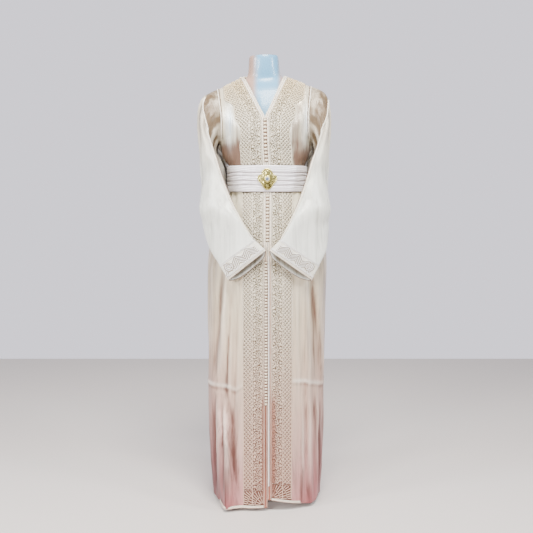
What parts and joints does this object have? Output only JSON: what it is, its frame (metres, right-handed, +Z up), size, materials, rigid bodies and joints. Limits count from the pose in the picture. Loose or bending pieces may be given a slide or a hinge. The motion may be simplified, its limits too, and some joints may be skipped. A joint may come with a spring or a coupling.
{
  "type": "takchita on a dress form",
  "caption": "Long satin takchita with wide sleeves, corded embroidery, a button row and a pleated belt with a gilt buckle, standing on a limbless dress form.",
  "frame": {"origin": "On the floor, at the middle of the round base plate's underside.", "axes": "+Z up, -Y the way the gown faces, -X the wearer's right, which is the viewer's left."},
  "size_m": [0.4429, 0.3914, 1.4884],
  "materials": {
    "satin": "satin",
    "sleeve_satin": "satin",
    "embroidery": "matte",
    "cord": "satin",
    "button": "satin",
    "belt_satin": "satin",
    "gilt": "polished",
    "stone": "polished",
    "form_gloss": "gloss",
    "steel": "brushed"
  },
  "bodies": {
    "root": {"front_right": "satin", "front_left": "satin", "back": "satin", "sleeve_right": "sleeve_satin", "sleeve_left": "sleeve_satin", "edge_trim_right": "cord", "edge_trim_left": "cord", "back_neck_trim": "cord", "chest_embroidery_right": "embroidery", "chest_embroidery_left": "embroidery", "skirt_embroidery_right": "embroidery", "skirt_embroidery_left": "embroidery", "hem_tape_right": "cord", "hem_tape_left": "cord", "cuff_band_right": "embroidery", "cuff_band_left": "embroidery", "cuff_cord_right": "cord", "cuff_cord_left": "cord", "sleeve_piping_right": "cord", "sleeve_piping_left": "cord", "button_row_upper": "button", "button_row_middle": "button", "button_row_lower": "button", "front_edge_cord": "cord", "belt": "belt_satin", "buckle_plate": "gilt", "buckle_boss": "gilt", "buckle_stone": "stone", "form_torso": "form_gloss", "pole": "steel", "base_plate": "steel"}
  },
  "joints": []
}
